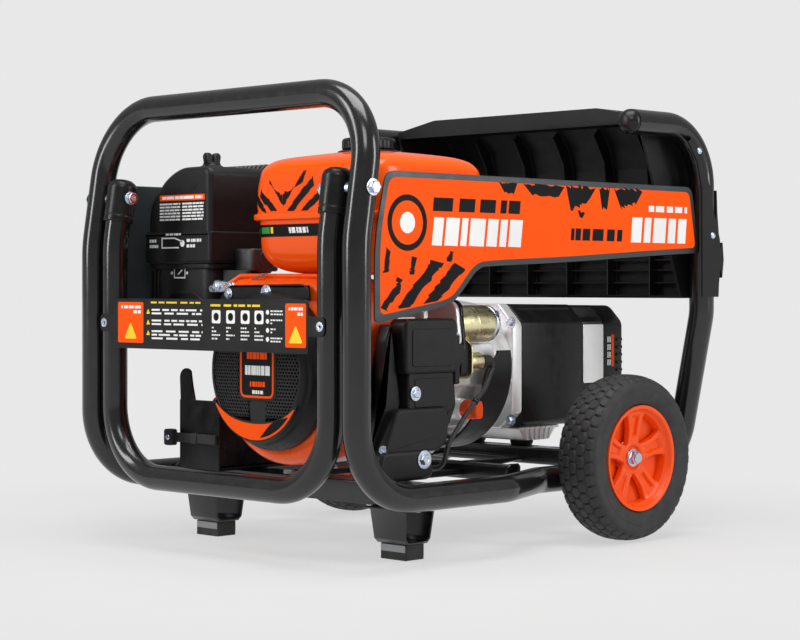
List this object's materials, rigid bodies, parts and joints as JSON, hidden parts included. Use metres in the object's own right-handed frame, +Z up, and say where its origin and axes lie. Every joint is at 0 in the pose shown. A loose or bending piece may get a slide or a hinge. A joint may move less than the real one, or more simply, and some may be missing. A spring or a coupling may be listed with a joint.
{
  "type": "portable generator",
  "caption": "Open-frame portable petrol generator with wheels, fold-up transport handle, side panels, side-mounted battery, recoil and electric start, and a rear control panel.",
  "frame": {"origin": "centre of the bounding box in plan, on the ground plane", "axes": "+X from the recoil-starter end towards the control-panel end, +Y towards the far long side, +Z up"},
  "size_m": [0.8124, 0.639, 0.6479],
  "materials": {
    "gloss_black_paint": "gloss",
    "black_plastic": "satin",
    "black_sheet": "satin",
    "grey_panel": "satin",
    "pad_rubber": "matte",
    "cable_rubber": "satin",
    "tyre_rubber": "matte",
    "orange_paint": "gloss",
    "orange_plastic": "gloss",
    "zinc_steel": "satin",
    "cast_aluminium": "cast",
    "yellow_zinc": "satin",
    "cast_iron": "matte"
  },
  "bodies": {
    "machine": {"front_hoop": "gloss_black_paint", "near_rear_tube": "gloss_black_paint", "far_rear_tube": "gloss_black_paint", "front_cross_member": "gloss_black_paint", "middle_cross_member": "gloss_black_paint", "rear_cross_member": "gloss_black_paint", "near_foot_bracket": "gloss_black_paint", "far_foot_bracket": "gloss_black_paint", "near_tube_cap": "black_plastic", "far_tube_cap": "black_plastic", "recoil_cover": "black_plastic", "side_shroud": "black_plastic", "air_cleaner_cover": "black_plastic", "air_cleaner_base": "black_plastic", "battery_tray": "black_plastic", "battery": "black_plastic", "control_fascia": "black_plastic", "rocker_cover": "black_plastic", "adaptor_skirt": "black_plastic", "alternator_shell": "black_sheet", "alternator_end_cover": "black_sheet", "near_side_panel": "grey_panel", "far_side_panel": "grey_panel", "socket_plate": "grey_panel", "near_foot_pad": "pad_rubber", "far_foot_pad": "pad_rubber", "starter_cable": "cable_rubber", "fuel_tank": "orange_paint", "blower_housing": "orange_paint", "axle": "zinc_steel", "near_pivot_bolt": "zinc_steel", "far_pivot_bolt": "zinc_steel", "crankcase": "cast_aluminium", "cylinder_block": "cast_aluminium", "adaptor_housing": "cast_aluminium", "alternator_foot": "cast_aluminium", "starter_motor": "yellow_zinc", "starter_solenoid": "yellow_zinc", "fuel_strainer": "yellow_zinc", "carburettor": "cast_iron", "muffler": "cast_iron"},
    "handle": {"transport_handle": "gloss_black_paint", "near_handle_cap": "black_plastic", "far_handle_cap": "black_plastic", "label_plate": "black_sheet"},
    "near_wheel": {"near_wheel_rim": "orange_plastic", "near_wheel_tyre": "tyre_rubber"},
    "far_wheel": {"far_wheel_rim": "orange_plastic", "far_wheel_tyre": "tyre_rubber"},
    "crank": {"rotating_assembly": "cast_iron"},
    "tank_cap": {"fuel_cap": "black_plastic"},
    "dipstick_cap": {"oil_cap": "orange_plastic"},
    "cleaner_knob": {"air_cleaner_knob": "black_plastic"},
    "choke": {"choke_lever": "zinc_steel"},
    "pull_grip": {"recoil_grip": "black_plastic"},
    "near_flap": {"near_socket_flap": "black_plastic"},
    "middle_flap": {"middle_socket_flap": "black_plastic"},
    "breaker": {"breaker_toggle": "orange_plastic"},
    "key": {"start_key": "zinc_steel"}
  },
  "joints": [
    {"name": "handle_fold", "type": "hinge", "parent": "machine", "child": "handle", "pos_m": [-0.37505, 0, 0.5], "axis": [0, 1, 0], "range_deg": [0, 92]},
    {"name": "near_wheel_turn", "type": "hinge", "parent": "machine", "child": "near_wheel", "pos_m": [0.15425, -0.285, 0.122], "axis": [0, 1, 0], "continuous": true},
    {"name": "far_wheel_turn", "type": "hinge", "parent": "machine", "child": "far_wheel", "pos_m": [0.15425, 0.285, 0.122], "axis": [0, 1, 0], "continuous": true},
    {"name": "crank_turn", "type": "hinge", "parent": "machine", "child": "crank", "pos_m": [-0.08575, -0.033, 0.255], "axis": [1, 0, 0], "continuous": true},
    {"name": "tank_cap_turn", "type": "hinge", "parent": "machine", "child": "tank_cap", "pos_m": [-0.18975, -0.099, 0.572], "axis": [0, 0, 1], "range_deg": [0, 90]},
    {"name": "dipstick_turn", "type": "hinge", "parent": "machine", "child": "dipstick_cap", "pos_m": [-0.03375, -0.15, 0.194], "axis": [0, -1, 0], "range_deg": [0, 270]},
    {"name": "cleaner_knob_turn", "type": "hinge", "parent": "machine", "child": "cleaner_knob", "pos_m": [-0.24375, 0.179, 0.56], "axis": [0, 0, 1], "range_deg": [0, 270]},
    {"name": "choke_turn", "type": "hinge", "parent": "machine", "child": "choke", "pos_m": [-0.31075, 0.206, 0.346], "axis": [1, 0, 0], "range_deg": [0, 40]},
    {"name": "recoil_pull", "type": "slide", "parent": "machine", "child": "pull_grip", "axis": [-1, 0, 0], "range_m": [0, 0.3], "stiffness_N_per_m": 30, "springref_m": -0.1},
    {"name": "near_flap_lift", "type": "hinge", "parent": "machine", "child": "near_flap", "pos_m": [0.40125, -0.12, 0.49], "axis": [0, -1, 0], "range_deg": [0, 100], "stiffness_Nm_per_rad": 0.02, "springref_deg": -34.38},
    {"name": "middle_flap_lift", "type": "hinge", "parent": "machine", "child": "middle_flap", "pos_m": [0.40125, -0.03, 0.49], "axis": [0, -1, 0], "range_deg": [0, 100], "stiffness_Nm_per_rad": 0.02, "springref_deg": -34.38},
    {"name": "breaker_flip", "type": "hinge", "parent": "machine", "child": "breaker", "pos_m": [0.39625, 0.06, 0.455], "axis": [0, 1, 0], "range_deg": [0, 20]},
    {"name": "key_turn", "type": "hinge", "parent": "machine", "child": "key", "pos_m": [0.39425, 0.14, 0.455], "axis": [1, 0, 0], "range_deg": [0, 60]}
  ]
}
